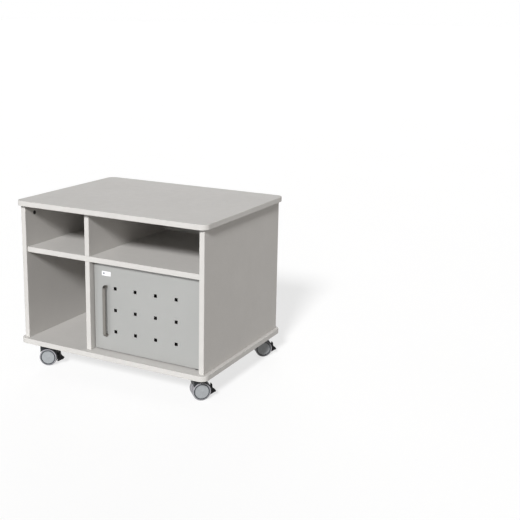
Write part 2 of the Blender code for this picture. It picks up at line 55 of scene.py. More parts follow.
CASTERS = ("front_left", "front_right", "rear_left", "rear_right")
WHEEL_RADIUS = 32.5 * MM
LABEL_MARK_HALF = 3.2 * MM
LABEL_MARK_INSET = 9 * MM


# ---------------------------------------------------------------- materials


class Look:
    """A Principled material with its nodes, made in code."""

    def __init__(self, name, **constants):
        self.material = bpy.data.materials.new(name)
        self.material.use_nodes = True
        self.tree = self.material.node_tree
        self.shader = self.tree.nodes["Principled BSDF"]
        for socket, value in constants.items():
            self.shader.inputs[socket.replace("_", " ")].default_value = value
        self.coordinates = self.tree.nodes.new("ShaderNodeTexCoord").outputs["Object"]

    def node(self, kind, **settings):
        made = self.tree.nodes.new("ShaderNode" + kind)
        for key, value in settings.items():
            setattr(made, key, value)
        return made

    def join(self, source, socket):
        self.tree.links.new(source, socket)

    def stretched(self, scale):
        mapping = self.node("Mapping")
        mapping.inputs["Scale"].default_value = scale
        self.join(self.coordinates, mapping.inputs["Vector"])
        return mapping.outputs["Vector"]

    def noise(self, scale, detail=3.0, roughness=0.55, stretch=None):
        made = self.node("TexNoise")
        made.inputs["Scale"].default_value = scale
        made.inputs["Detail"].default_value = detail
        made.inputs["Roughness"].default_value = roughness
        self.join(self.stretched(stretch) if stretch else self.coordinates, made.inputs["Vector"])
        return made.outputs["Fac"]

    def mapped(self, source, low, high, from_low=0.3, from_high=0.7):
        made = self.node("MapRange")
        sockets = ("From Min", "From Max", "To Min", "To Max")
        for socket, value in zip(sockets, (from_low, from_high, low, high)):
            made.inputs[socket].default_value = value
        self.join(source, made.inputs["Value"])
        return made.outputs["Result"]

    def math(self, operation, first, second=0.0):
        made = self.node("Math", operation=operation)
        for socket, value in zip(made.inputs, (first, second)):
            if isinstance(value, (int, float)):
                socket.default_value = value
            else:
                self.join(value, socket)
        return made.outputs["Value"]

    def blended(self, *parts):
        """The sum of (source, weight) pairs."""
        total = None
        for source, weight in parts:
            share = self.math("MULTIPLY", source, weight)
            total = share if total is None else self.math("ADD", total, share)
        return total

    def mix(self, factor, first, second):
        made = self.node("Mix", data_type="RGBA")
        self.join(factor, made.inputs["Factor"])
        for socket, value in ((made.inputs[6], first), (made.inputs[7], second)):
            if isinstance(value, tuple):
                socket.default_value = (*value, 1)
            else:
                self.join(value, socket)
        return made.outputs[2]

    def colour(self, source):
        self.join(source, self.shader.inputs["Base Color"])

    def roughness(self, source):
        self.join(source, self.shader.inputs["Roughness"])

    def bump(self, height, strength, distance):
        made = self.node("Bump")
        made.inputs["Strength"].default_value = strength
        made.inputs["Distance"].default_value = distance
        self.join(height, made.inputs["Height"])
        self.join(made.outputs["Normal"], self.shader.inputs["Normal"])


def tinted(colour, factor):
    return tuple(min(1.0, channel * factor) for channel in colour)


def board_look():
    """Melamine-faced board: a flat grey with a fine pearl grain and faint clouds."""
    colour = (0.548, 0.534, 0.516)
    look = Look("melamine_grey", Specular_IOR_Level=0.42)
    fine, coarse, clouds = look.noise(1100, 2), look.noise(330, 3), look.noise(7, 4)
    blend = look.mapped(look.blended((fine, 0.4), (coarse, 0.3), (clouds, 0.3)), 0, 1, 0.36, 0.64)
    look.colour(look.mix(blend, tinted(colour, 0.95), tinted(colour, 1.05)))
    look.roughness(look.mapped(look.noise(35, 4), 0.42, 0.54))
    look.bump(look.noise(1700, 3, 0.6), 0.12, 0.0002)
    return look.material


def band_look():
    """ABS edge band: the board's grey, satin, with faint milling ripple."""
    colour = (0.575, 0.562, 0.543)
    look = Look("edge_band_grey", Specular_IOR_Level=0.45)
    clouds = look.noise(14, 4)
    look.colour(look.mix(look.mapped(clouds, 0, 1), tinted(colour, 0.97), tinted(colour, 1.03)))
    look.roughness(look.mapped(look.noise(60, 3), 0.34, 0.46))
    look.bump(look.noise(420, 3, 0.5), 0.08, 0.0003)
    return look.material


def door_look():
    """Powder-coated sheet steel: silver grey, fine flake and orange peel."""
    colour = (0.392, 0.395, 0.386)
    look = Look(
        "powder_coat_silver",
        Metallic=0.25,
        Specular_IOR_Level=0.5,
        Coat_Weight=0.12,
        Coat_Roughness=0.3,
    )
    flake = look.node("TexVoronoi", feature="F1")
    flake.inputs["Scale"].default_value = 1600
    look.join(look.coordinates, flake.inputs["Vector"])
    sparkle = look.mapped(flake.outputs["Distance"], 0, 1, 0.1, 0.8)
    clouds = look.mapped(look.noise(5, 3), 0, 1)
    blend = look.blended((sparkle, 0.5), (clouds, 0.5))
    look.colour(look.mix(blend, tinted(colour, 1.05), tinted(colour, 0.95)))
    look.roughness(look.mapped(look.noise(300, 3), 0.34, 0.46))
    look.bump(look.noise(520, 2, 0.5), 0.14, 0.0002)
    return look.material


def metal_look(name, colour, roughness, stretch, grain):
    """Brushed or plated metal: streaks along one direction and soft blotches."""
    look = Look(name, Metallic=1.0)
    streaks = look.noise(grain, 4, 0.6, stretch)
    blotches = look.noise(70, 3)
    blend = look.blended((streaks, 0.6), (blotches, 0.4))
    look.colour(look.mix(look.mapped(blend, 0, 1), tinted(colour, 0.88), tinted(colour, 1.1)))
    look.roughness(look.mapped(streaks, roughness - 0.07, roughness + 0.08))
    look.bump(streaks, 0.1, 0.0001)
    return look.material


def plastic_look(name, colour, roughness, grain, strength, specular=0.45):
    """Moulded plastic: a fine spark-eroded grain and slightly uneven gloss."""
    look = Look(name, Specular_IOR_Level=specular)
    clouds = look.noise(55, 4)
    look.colour(look.mix(look.mapped(clouds, 0, 1), tinted(colour, 0.9), tinted(colour, 1.12)))
    look.roughness(look.mapped(look.noise(160, 3), roughness - 0.06, roughness + 0.07))
    look.bump(look.noise(grain, 3, 0.6), strength, 0.0002)
    return look.material


def radial(look):
    """Distance from the axle line, local Y, in metres."""
    parts = look.node("SeparateXYZ")
    look.join(look.coordinates, parts.inputs["Vector"])
    across = look.math("MULTIPLY", parts.outputs["X"], parts.outputs["X"])
    upward = look.math("MULTIPLY", parts.outputs["Z"], parts.outputs["Z"])
    return look.math("SQRT", look.math("ADD", across, upward))


def cap_look():
    """Light grey hub disc with the faint rings that its mould leaves."""
    colour = (0.315, 0.33, 0.345)
    look = Look("hub_disc_grey", Specular_IOR_Level=0.5)
    radians_per_metre = 9000
    rings = look.math("SINE", look.math("MULTIPLY", radial(look), radians_per_metre))
    clouds = look.noise(120, 4)
    look.colour(look.mix(look.mapped(clouds, 0, 1), tinted(colour, 0.92), tinted(colour, 1.07)))
    look.roughness(look.mapped(look.noise(200, 3), 0.3, 0.42))
    look.bump(look.blended((rings, 0.35), (look.noise(900, 2), 1.0)), 0.1, 0.0002)
    return look.material


def tread_look():
    """Soft grey tread: dusty and scuffed darker on the running surface."""
    clean, worn = (0.33, 0.325, 0.35), (0.25, 0.245, 0.255)
    look = Look("soft_tread_grey", Specular_IOR_Level=0.35)
    outer = look.mapped(radial(look), 0, 1, WHEEL_RADIUS - 1.3 * MM, WHEEL_RADIUS)
    scuffs = look.mapped(look.noise(240, 5, 0.7), 0.1, 0.9)
    look.colour(look.mix(look.math("MULTIPLY", outer, scuffs), clean, worn))
    look.roughness(look.mapped(scuffs, 0.5, 0.72, 0, 1))
    look.bump(look.noise(1300, 3, 0.6), 0.2, 0.0002)
    return look.material


def label_look(mark):
    """White film label with one small plain square printed at its left."""
    look = Look("label_film_white", Specular_IOR_Level=0.5, Coat_Weight=0.3, Coat_Roughness=0.2)
    parts = look.node("SeparateXYZ")
    look.join(look.coordinates, parts.inputs["Vector"])
    inside = None
    for axis, centre in zip("XZ", mark):
        off = look.math("ABSOLUTE", look.math("SUBTRACT", parts.outputs[axis], centre))
        near = look.math("LESS_THAN", off, LABEL_MARK_HALF)
        inside = near if inside is None else look.math("MULTIPLY", inside, near)
    paper = look.mix(look.mapped(look.noise(300, 3), 0, 1), (0.83, 0.83, 0.86), (0.88, 0.88, 0.9))
    look.colour(look.mix(inside, paper, (0.16, 0.18, 0.22)))
    look.roughness(look.mapped(look.noise(80, 3), 0.3, 0.4))
    look.bump(look.noise(700, 2), 0.05, 0.0001)
    return look.material


def floor_look():
    """White sweep: mostly even light of its own, so that the shadows on it stay faint."""
    look = Look("studio_floor", Roughness=0.9, Specular_IOR_Level=0.1, Emission_Strength=0.7)
    look.shader.inputs["Emission Color"].default_value = (1, 1, 1, 1)
    look.colour(look.mix(look.mapped(look.noise(0.8, 3), 0, 1), (0.31, 0.31, 0.31), (0.32, 0.32, 0.32)))
    return look.material


# ---------------------------------------------------------------- mesh helpers


def as_mesh(name, bm):
    bmesh.ops.remove_doubles(bm, verts=bm.verts, dist=1e-7)
    bmesh.ops.recalc_face_normals(bm, faces=bm.faces)
    mesh = bpy.data.meshes.new(name)
    bm.to_mesh(mesh)
    bm.free()
    return mesh


def finished(name, bm, mat, body, nodes=(), place=None, sharp=40):
    """Turns bm into a piece: shaded, placed, riding on its body, and standing for the CAD nodes named."""
    return placed(name, as_mesh(name, bm), mat, body, nodes, place, sharp)


def placed(name, mesh, mat, body, nodes=(), place=None, sharp=40):
    mesh.shade_smooth()
    mesh.set_sharp_from_angle(angle=math.radians(sharp))
    made = bpy.data.objects.new(name, mesh)
    bpy.context.scene.collection.objects.link(made)
    mesh.materials.clear()
    mesh.materials.append(mat)
    if place is not None:
        made.matrix_world = place
    weighted = made.modifiers.new("even_normals", "WEIGHTED_NORMAL")
    weighted.keep_sharp = True
    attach(made, body)
    if nodes:
        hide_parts(*nodes)
    return made


def body_of(node):
    for body, members in frame["record"]["behaviour"]["bodies"].items():
        if node in members:
            return body


def from_cad(node):
    """A CAD node's mesh as a clean bmesh of flat polygons."""
    bm = bmesh.new()
    bm.from_mesh(frame["nodes"][node].data)
    bmesh.ops.remove_doubles(bm, verts=bm.verts, dist=2e-5)
    bmesh.ops.dissolve_limit(bm, angle_limit=math.radians(1), verts=bm.verts, edges=bm.edges)
    return bm


def rounded(bm, edges, width, segments):
    bmesh.ops.bevel(
        bm, geom=edges, offset=width, segments=segments, profile=0.5, affect="EDGES", clamp_overlap=True
    )


def soften(bm, width, segments=3, least=30):
    """Rounds the edges that turn by more than least degrees."""
    edges = []
    for edge in bm.edges:
        if len(edge.link_faces) == 2 and edge.calc_face_angle(0) > math.radians(least):
            edges.append(edge)
    rounded(bm, edges, width, segments)


def round_rims(bm, width, segments):
    """Rounds the edges round the two end faces of a prism."""
    bmesh.ops.recalc_face_normals(bm, faces=bm.faces)
    rims = [edge for edge in bm.edges if any(abs(face.normal.y) > 0.9 for face in edge.link_faces)]
    rounded(bm, rims, width, segments)


def softened(node, mat, width, segments=3):
    """A CAD node with its edges rounded, as its own piece."""
    bm = from_cad(node)
    soften(bm, width, segments)
    return finished(node + "_fine", bm, mat, body_of(node), (node,))


def arc(centre, radius, start, end, steps):
    turn = (end - start) / steps
    angles = [math.radians(start + turn * i) for i in range(steps + 1)]
    return [(centre[0] + radius * math.cos(a), centre[1] + radius * math.sin(a)) for a in angles]


def rounded_plan(half_x, half_y, radius, steps=14):
    points = []
    for corner in range(4):
        sx = 1 if corner in (0, 3) else -1
        sy = 1 if corner in (0, 1) else -1
        centre = (sx * (half_x - radius), sy * (half_y - radius))
        points += arc(centre, radius, corner * 90, corner * 90 + 90, steps)
    return points


def rings_to_faces(bm, rings, closed):
    """Skins a list of equal vertex rings; closed joins the last ring to the first."""
    pairs = list(zip(rings, rings[1:]))
    if closed:
        pairs.append((rings[-1], rings[0]))
    for near, far in pairs:
        for i in range(len(near)):
            j = (i + 1) % len(near)
            bm.faces.new((near[i], near[j], far[j], far[i]))


def stacked(layers, capped=True):
    """A body from stacked plan outlines: each layer is (outline, z)."""
    bm = bmesh.new()
    rings = [[bm.verts.new((x, y, z)) for x, y in outline] for outline, z in layers]
    rings_to_faces(bm, rings, not capped)
    if capped:
        bm.faces.new(rings[0])
        bm.faces.new(rings[-1])
    return bm


def prism(bm, outline, low, high):
    """An outline in X and Z, extruded along Y."""
    face = bm.faces.new([bm.verts.new((u, low, v)) for u, v in outline])
    grown = bmesh.ops.extrude_face_region(bm, geom=[face], use_keep_orig=True)
    moved = [v for v in grown["geom"] if isinstance(v, bmesh.types.BMVert)]
    bmesh.ops.translate(bm, verts=moved, vec=(0, high - low, 0))


def turned(profile, steps=72, sign=1):
    """A closed body of (radius, along Y) points spun round Y. sign -1 mirrors it in Y."""
    bm = bmesh.new()
    verts = [bm.verts.new((r, sign * y, 0)) for r, y in profile]
    edges = [bm.edges.new(pair) for pair in zip(verts, verts[1:])]
    if profile[0][0] > 0:
        edges.append(bm.edges.new((verts[-1], verts[0])))
    bmesh.ops.spin(
        bm, geom=verts + edges, cent=(0, 0, 0), axis=(0, 1, 0), angle=math.tau, steps=steps, use_merge=True
    )
    bmesh.ops.remove_doubles(bm, verts=bm.verts, dist=1e-6)
    return bm


def rod(radius, low, high, steps):
    """A plain cylinder along Y."""
    return turned([(0, low), (radius, low), (radius, high), (0, high)], steps)


def add_box(bm, low, high):
    low, high = Vector(low), Vector(high)
    place = Matrix.Translation((low + high) / 2) @ Matrix.Diagonal((*(high - low), 1))
    bmesh.ops.create_cube(bm, size=1, matrix=place)


def carved(bm, cutter, operation="DIFFERENCE"):
    """bm after an exact Boolean with cutter. Both are used up."""
    pair = []
    for part in (bm, cutter):
        bmesh.ops.recalc_face_normals(part, faces=part.faces)
        mesh = bpy.data.meshes.new("carving")
        part.to_mesh(mesh)
        part.free()
        made = bpy.data.objects.new("carving", mesh)
        bpy.context.scene.collection.objects.link(made)
        pair.append(made)
    step = pair[0].modifiers.new("carve", "BOOLEAN")
    step.operation = operation
    step.solver = "EXACT"
    step.object = pair[1]
    graph = bpy.context.evaluated_depsgraph_get()
    result = bmesh.new()
    result.from_mesh(pair[0].evaluated_get(graph).to_mesh())
    for made in pair:
        bpy.data.objects.remove(made, do_unlink=True)
    return result


# ---------------------------------------------------------------- cabinet

BAND_SEAM = 0.05 * MM
CORNER_RADIUS = 29 * MM
BAND_ROUND = 1.4 * MM
BOARD_EASE = 0.12 * MM
CAM_DEPTH = 11 * MM
CAM_DISH = 0.5 * MM


def banded_board(name, board_mat, band_mat):
    """A round-cornered board flush in its edge band, whose outer edges are rounded."""
    band_low, band_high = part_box(f"{name}_edge_band")
    core_low, core_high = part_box(f"{name}_panel")
    half_x, half_y = band_high.x, band_high.y
    band = half_x - core_high.x
    thickness = band - BAND_SEAM
    quarter = arc((BAND_ROUND, 0), BAND_ROUND, 180, 90, 5)
    section = [(thickness, band_low.z)]
    section += [(inset, band_low.z + BAND_ROUND - h) for inset, h in reversed(quarter)]
    section += [(inset, band_high.z - BAND_ROUND + h) for inset, h in quarter]
    section += [(thickness, band_high.z)]

    def layered(insets):
        return [(rounded_plan(half_x - d, half_y - d, CORNER_RADIUS - d), z) for d, z in insets]

    ring = stacked(layered(section), capped=False)
    finished(f"{name}_band_fine", ring, band_mat, "carcass", (f"{name}_edge_band",))

    eased = band + BOARD_EASE
    section = [
        (eased, core_low.z),
        (band, core_low.z + BOARD_EASE),
        (band, core_high.z - BOARD_EASE),
        (eased, core_high.z),
    ]
    core = stacked(layered(section))
    finished(f"{name}_board_fine", core, board_mat, "carcass", (f"{name}_panel",))


def cam_fittings(mat):
    """Zinc cam discs with a cross recess and a raised rim. Their zinc is coloured near black: painted shade,
    standing in for the shade of a deep recess.
    """
    for side, sign in (("left", -1), ("right", 1)):
        for place in ("front", "rear"):
            node = f"{side}_{place}_cam_fitting"
            low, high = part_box(node)
            centre = (low + high) / 2
            radius = (high.z - low.z) / 2
            face = high.x if side == "left" else low.x
            to_inside = Matrix.Rotation(math.radians(90 * sign), 4, "Z")
            profile = [
                (0, -CAM_DEPTH),
                (radius, -CAM_DEPTH),
                (radius, -CAM_DISH),
                (radius - 0.15 * MM, -0.1 * MM),
                (radius - 0.5 * MM, 0),
                (radius - 1.1 * MM, 0),
                (radius - 1.4 * MM, -CAM_DISH),
                (0, -CAM_DISH),
            ]
            disc = turned(profile, 48)
            cross = bmesh.new()
            add_box(cross, (-4.4 * MM, -3 * MM, -0.8 * MM), (4.4 * MM, 2 * MM, 0.8 * MM))
            upright = bmesh.new()
            add_box(upright, (-0.8 * MM, -2.9 * MM, -3.4 * MM), (0.8 * MM, 2.1 * MM, 3.4 * MM))
            disc = carved(carved(disc, cross), upright)
            spot = Matrix.Translation((face, centre.y, centre.z)) @ to_inside
            finished(node + "_fine", disc, mat, "carcass", (node,), spot, 30)


def cabinet(mats):
    for name in ("top", "bottom"):
        banded_board(name, mats["board"], mats["band"])
    boards = (
        "left_side_panel",
        "right_side_panel",
        "middle_shelf",
        "upper_divider",
        "lower_divider",
        "back_panel",
    )
    for node in boards:
        softened(node, mats["board"], 0.35 * MM, 2)
    bands = (
        "left_side_edge_band",
        "right_side_edge_band",
        "shelf_edge_band",
        "upper_divider_edge_band",
        "lower_divider_edge_band",
    )
    for node in bands:
        softened(node, mats["band"], 0.9 * MM, 3)
    cam_fittings(mats["cam"])
    for node in ("lower_pivot_bracket", "upper_pivot_bracket"):
        softened(node, mats["zinc"], 0.25 * MM, 2)
    softened("magnetic_catch", mats["black"], 0.9 * MM, 3)


# ---------------------------------------------------------------- door

SHEET = 1.2 * MM
LIP = 12 * MM
HOLE = 12.5 * MM
HOLE_FIRST = (6.6 * MM, 187.6 * MM)
HOLE_PITCH = (84.3 * MM, 80.2 * MM)
HOLE_CORNER = 0.9 * MM
PUNCHED_ROUND = 0.22 * MM
PIN_HOLE = 3.6 * MM
FOLD = 1.6 * MM
SCREW_HEAD_RADIUS = 4 * MM
SCREW_HEAD_HEIGHT = 2.4 * MM
SCREW_SHANK = 2 * MM
LABEL_CORNER = 2 * MM


def spans(low, high, gaps):
    """The grid lines from low to high that the gaps' edges need."""
    lines = {round(v, 6) for v in (low, high)}
    for near, far in gaps:
        lines |= {round(near, 6), round(far, 6)}
    return sorted(lines)


def door_sheet(mats):
    """The folded tray as one sheet: front with square holes, four walls and a lip, with rounded folds."""
    low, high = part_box("door_panel")
    pin = JOINTS["door_hinge"]["pos_m"]
    columns = [HOLE_FIRST[0] + i * HOLE_PITCH[0] for i in range(4)]
    rows = [HOLE_FIRST[1] + i * HOLE_PITCH[1] for i in range(3)]
    half = HOLE / 2
    pin_x = (pin[0] - PIN_HOLE, pin[0] + PIN_HOLE)
    pin_y = (pin[1] - PIN_HOLE, pin[1] + PIN_HOLE)
    xs = spans(low.x, high.x, [(x - half, x + half) for x in columns] + [pin_x])
    zs = spans(low.z, high.z, [(z - half, z + half) for z in rows])
    ys = spans(low.y, high.y, [pin_y])

    bm = bmesh.new()

    def panel(us, vs, at, skip):
        for u0, u1 in zip(us, us[1:]):
            for v0, v1 in zip(vs, vs[1:]):
                if not skip((u0 + u1) / 2, (v0 + v1) / 2):
                    corners = ((u0, v0), (u1, v0), (u1, v1), (u0, v1))
                    bm.faces.new([bm.verts.new(at(u, v)) for u, v in corners])

    def in_hole(x, z):
        return any(abs(x - c) < half for c in columns) and any(abs(z - r) < half for r in rows)

    def at_pin(x, y):
        return abs(x - pin[0]) < PIN_HOLE and abs(y - pin[1]) < PIN_HOLE

    def uncut(y, z):
        return False

    panel(xs, zs, lambda x, z: (x, low.y, z), in_hole)
    for z in (low.z, high.z):
        panel(xs, ys, lambda x, y, z=z: (x, y, z), at_pin)
    for x in (low.x, high.x):
        panel(ys, zs, lambda y, z, x=x: (x, y, z), uncut)
    inner = (low.x + LIP, high.x - LIP, low.z + LIP, high.z - LIP)
    outline = [(x, low.z) for x in xs] + [(high.x, z) for z in zs[1:]]
    outline += [(x, high.z) for x in reversed(xs[:-1])] + [(low.x, z) for z in reversed(zs[1:-1])]
    lip_outer = [bm.verts.new((x, high.y, z)) for x, z in outline]
    lip_inner = []
    for x, z in outline:
        inner_x, inner_z = min(max(x, inner[0]), inner[1]), min(max(z, inner[2]), inner[3])
        lip_inner.append(bm.verts.new((inner_x, high.y, inner_z)))
    for i in range(len(outline)):
        j = (i + 1) % len(outline)
        corners = [lip_outer[i], lip_outer[j], lip_inner[j], lip_inner[i]]
        if (corners[2].co - corners[3].co).length < 1e-7:
            corners.pop()
        bm.faces.new(corners)
    bmesh.ops.remove_doubles(bm, verts=bm.verts, dist=1e-6)
    bmesh.ops.recalc_face_normals(bm, faces=bm.faces)
    soften(bm, FOLD, 4)
    corners = [v for v in bm.verts if v.is_boundary and abs(v.co.y - low.y) < 1e-6]
    bmesh.ops.bevel(bm, geom=corners, offset=HOLE_CORNER, segments=3, profile=0.5, affect="VERTICES")
    bmesh.ops.dissolve_limit(bm, angle_limit=math.radians(0.5), verts=bm.verts, edges=bm.edges)
    door = finished("door_sheet", bm, mats["door"], "door", ("door_panel",))
    door.modifiers.clear()
    thick = door.modifiers.new("sheet", "SOLIDIFY")
    thick.thickness = SHEET
    thick.offset = -1
    rim = door.modifiers.new("punched_rim", "BEVEL")
    rim.width = PUNCHED_ROUND
    rim.segments = 2
    rim.limit_method = "ANGLE"
    rim.angle_limit = math.radians(60)
    weighted = door.modifiers.new("even_normals", "WEIGHTED_NORMAL")
    weighted.keep_sharp = True


def handle(mats):
    """The bow handle: a flat bar bent at its ends, with slightly wider feet.

    A station is the distance from the door, the distance from the middle, and two factors on the bar's
    width and depth.
    """
    low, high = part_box("door_handle")
    door_low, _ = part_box("door_panel")
    x, middle = (low.x + high.x) / 2, (low.z + high.z) / 2
    foot, standoff = 90 * MM, 14 * MM
    half_width, half_depth, corner = 5.8 * MM, 3.2 * MM, 1.3 * MM
    stations = [
        (0.3 * MM, foot, 1.06, 1.32),
        (0.7 * MM, foot, 1.1, 1.4),
        (5.5 * MM, foot, 1.1, 1.4),
        (7.8 * MM, foot - 0.1 * MM, 1.09, 1.36),
        (9.4 * MM, foot - 0.8 * MM, 1.06, 1.24),
        (10.9 * MM, foot - 2.0 * MM, 1.03, 1.1),
        (12.1 * MM, foot - 3.7 * MM, 1.01, 1.03),
        (13.1 * MM, foot - 5.8 * MM, 1.0, 1.0),
        (13.7 * MM, foot - 8.2 * MM, 1.0, 1.0),
        (standoff, foot - 11 * MM, 1.0, 1.0),
        (standoff, foot - 30 * MM, 1.0, 1.0),
    ]
    path = [(out, -z, wide, deep) for out, z, wide, deep in stations]
    path += reversed(stations)
    section = []
    for quarter, (sx, sy) in enumerate(((1, 1), (-1, 1), (-1, -1), (1, -1))):
        centre = (sx * (half_width - corner), sy * (half_depth - corner))
        section += arc(centre, corner, quarter * 90, quarter * 90 + 90, 6)
    bm = bmesh.new()
    rings = []
    for i, (out, z, wide, deep) in enumerate(path):
        before, after = path[max(i - 1, 0)], path[min(i + 1, len(path) - 1)]
        along = Vector((before[0] - after[0], after[1] - before[1])).normalized()
        across = Vector((-along.y, along.x))
        ring = []
        for u, v in section:
            spot = Vector((door_low.y - out, middle + z)) + across * v * deep
            ring.append(bm.verts.new((x + u * wide, spot.x, spot.y)))
        rings.append(ring)
    rings_to_faces(bm, rings, False)
    bm.faces.new(rings[0])
    bm.faces.new(rings[-1])
    finished("bow_handle", bm, mats["nickel"], "door", ("door_handle",), sharp=50)


def screw(radius, height, shank, length):
    """A pan-head screw along -Y, head at the origin's +Y side, with a cross recess."""
    profile = [
        (0, -length),
        (shank, -length),
        (shank, 0),
        (radius, 0),
        (radius, height * 0.35),
        (radius * 0.93, height * 0.62),
        (radius * 0.78, height * 0.85),
        (radius * 0.5, height * 0.97),
        (0, height),
    ]
    head = turned(profile, 40)
    for across, upward in ((0.55, 0.12), (0.12, 0.55)):
        slot = bmesh.new()
        grow = 1.0 if across > upward else 1.02
        reach = Vector((radius * across, 0, radius * upward)) * grow
        add_box(slot, (-reach.x, height * 0.3 * grow, -reach.z), (reach.x, height * 2 * grow, reach.z))
        head = carved(head, slot)
    return head


def label(mats):
    low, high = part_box("door_label")
    centre = (low + high) / 2
    half_x, half_z = (high.x - low.x) / 2, (high.z - low.z) / 2
    bm = bmesh.new()
    outline = [(centre.x + u, centre.z + v) for u, v in rounded_plan(half_x, half_z, LABEL_CORNER, 6)]
    prism(bm, outline, low.y, high.y)
    soften(bm, 0.12 * MM, 2, 60)
    finished("blank_label", bm, mats["label"], "door", ("door_label",))


def door(mats):
    door_sheet(mats)
    handle(mats)
    label(mats)
    for place in ("lower", "upper"):
        node = f"{place}_handle_screw"
        low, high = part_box(node)
        centre = (low + high) / 2
        seat = high.y - SCREW_HEAD_HEIGHT
        head = screw(SCREW_HEAD_RADIUS, SCREW_HEAD_HEIGHT, SCREW_SHANK, seat - low.y)
        spot = Matrix.Translation((centre.x, seat, centre.z))
        finished(node + "_fine", head, mats["zinc"], "door", (node,), spot, 30)


# ---------------------------------------------------------------- casters

# The origin is on the axle, X runs towards the foot lever, Y along the axle and Z up.
HOOD_HALF = 25.8 * MM
HOOD_TOP = 49 * MM
WEB_HALF = 4 * MM
TRAIL = 19 * MM
STEM_BORE = 5.4 * MM
AXLE_BORE = 3.4 * MM
PIN_BORE = 1.8 * MM
BORE_REACH = 8 * MM
BRAKE_PIVOT = (37.5 * MM, -8 * MM)
PIN_RADIUS = 1.5 * MM
PIN_HALF = 7.5 * MM
LEVER_HALF = 8.5 * MM
SLOT_HALF = 4.5 * MM
PLATE_THICKNESS = 2.5 * MM
PLATE_SCREW_REACH = 18.5 * MM


def hood_mesh():
    """The fender over both wheels with its middle web, stem collar and rounded edges."""
    outer = arc((0, 0), 35.8 * MM, 7, 56, 18)
    outer += [
        (15.4 * MM, 34.3 * MM),
        (10.8 * MM, 39.1 * MM),
        (5.2 * MM, 46.7 * MM),
        (3.6 * MM, 48.4 * MM),
        (1.2 * MM, HOOD_TOP),
        (-26.4 * MM, HOOD_TOP),
        (-27.5 * MM, HOOD_TOP - 0.5 * MM),
        (-28 * MM, HOOD_TOP - 1.6 * MM),
        (-28 * MM, 22 * MM),
    ]
    bm = bmesh.new()
    prism(bm, outer + arc((0, 0), 33.8 * MM, 145, 5, 30), -HOOD_HALF, HOOD_HALF)
    round_rims(bm, 0.8 * MM, 3)
    web_outline = [
        (-24 * MM, 38 * MM),
        (-24 * MM, 8 * MM),
        *arc((0, 0), 10 * MM, 200, 280, 10),
        *arc(BRAKE_PIVOT, 3.4 * MM, 250, 470, 16),
        (29 * MM, 8 * MM),
        (23.5 * MM, 25.5 * MM),
        (8 * MM, 37 * MM),
    ]
    web = bmesh.new()
    prism(web, web_outline, -WEB_HALF, WEB_HALF)
    bm = carved(bm, web, "UNION")
    collar_profile = [
        (0, 45 * MM),
        (8.6 * MM, 45 * MM),
        (8.6 * MM, 54 * MM),
        (8.2 * MM, 54.4 * MM),
        (0, 54.4 * MM),
    ]
    collar = turned(collar_profile, 40)
    turn_up = Matrix.Translation((-TRAIL, 0, 0)) @ Matrix.Rotation(math.radians(90), 4, "X")
    bmesh.ops.transform(collar, matrix=turn_up, verts=collar.verts)
    bm = carved(bm, collar, "UNION")
    stem_bore = rod(STEM_BORE, 39.4 * MM, 55.5 * MM, 32)
    bmesh.ops.transform(stem_bore, matrix=turn_up, verts=stem_bore.verts)
    bm = carved(bm, stem_bore)
    bm = carved(bm, rod(AXLE_BORE, -BORE_REACH, BORE_REACH, 24))
    pin_bore = rod(PIN_BORE, -BORE_REACH, BORE_REACH, 16)
    bmesh.ops.translate(pin_bore, verts=pin_bore.verts, vec=(BRAKE_PIVOT[0], 0, BRAKE_PIVOT[1]))
    return carved(bm, pin_bore)


def lever_mesh():
    """The foot lever: tongue, ribbed pedal and shoe, on its pin."""
    outline = [
        (40.5 * MM, 17.1 * MM),
        (39.4 * MM, 17.4 * MM),
        (38.4 * MM, 16.7 * MM),
        (37.5 * MM, 14.2 * MM),
        (37 * MM, 12 * MM),
        (36.9 * MM, 5 * MM),
        (36.9 * MM, -3.0 * MM),
        (36.4 * MM, -3.6 * MM),
        (34.1 * MM, -4.7 * MM),
        (33.2 * MM, -8.8 * MM),
        (31.3 * MM, -14.2 * MM),
        (30.7 * MM, -18.8 * MM),
        (31.1 * MM, -19.8 * MM),
        (33.4 * MM, -20.2 * MM),
        (40.5 * MM, -16.9 * MM),
        (47.5 * MM, -12.9 * MM),
        (52.3 * MM, -11.5 * MM),
        (54.2 * MM, -10.1 * MM),
        (54.5 * MM, -8.6 * MM),
        (54.1 * MM, -7.2 * MM),
    ]
    near, far = Vector((53.4, -6.7)), Vector((46.2, -1.4))
    outward = Vector((0.59, 0.81))
    # Four low ribs across the pedal, from its tip inwards, in millimetres.
    for i in range(4):
        for part, lift in ((0.12, 0.0), (0.3, 0.4), (0.6, 0.4), (0.78, 0.0)):
            spot = near.lerp(far, (i + part) / 4) + outward * (lift - 0.35)
            outline.append((spot.x * MM, spot.y * MM))
    outline += [
        (44.4 * MM, 0.4 * MM),
        (42.8 * MM, 3.6 * MM),
        (41.9 * MM, 7 * MM),
        (41.4 * MM, 11 * MM),
        (40.9 * MM, 16.3 * MM),
    ]
    bm = bmesh.new()
    prism(bm, outline, -LEVER_HALF, LEVER_HALF)
    round_rims(bm, 0.4 * MM, 2)
    reach = 4.6 * MM
    slot_outline = arc(BRAKE_PIVOT, reach, -90, 90, 12)
    back = BRAKE_PIVOT[0] - 12 * MM
    slot_outline += [(back, BRAKE_PIVOT[1] + reach), (back, BRAKE_PIVOT[1] - reach)]
    slot = bmesh.new()
    prism(slot, slot_outline, -SLOT_HALF, SLOT_HALF)
    bm = carved(bm, slot)
    pin = rod(PIN_RADIUS, -PIN_HALF, PIN_HALF, 20)
    bmesh.ops.translate(pin, verts=pin.verts, vec=(BRAKE_PIVOT[0], 0, BRAKE_PIVOT[1]))
    return carved(bm, pin, "UNION")


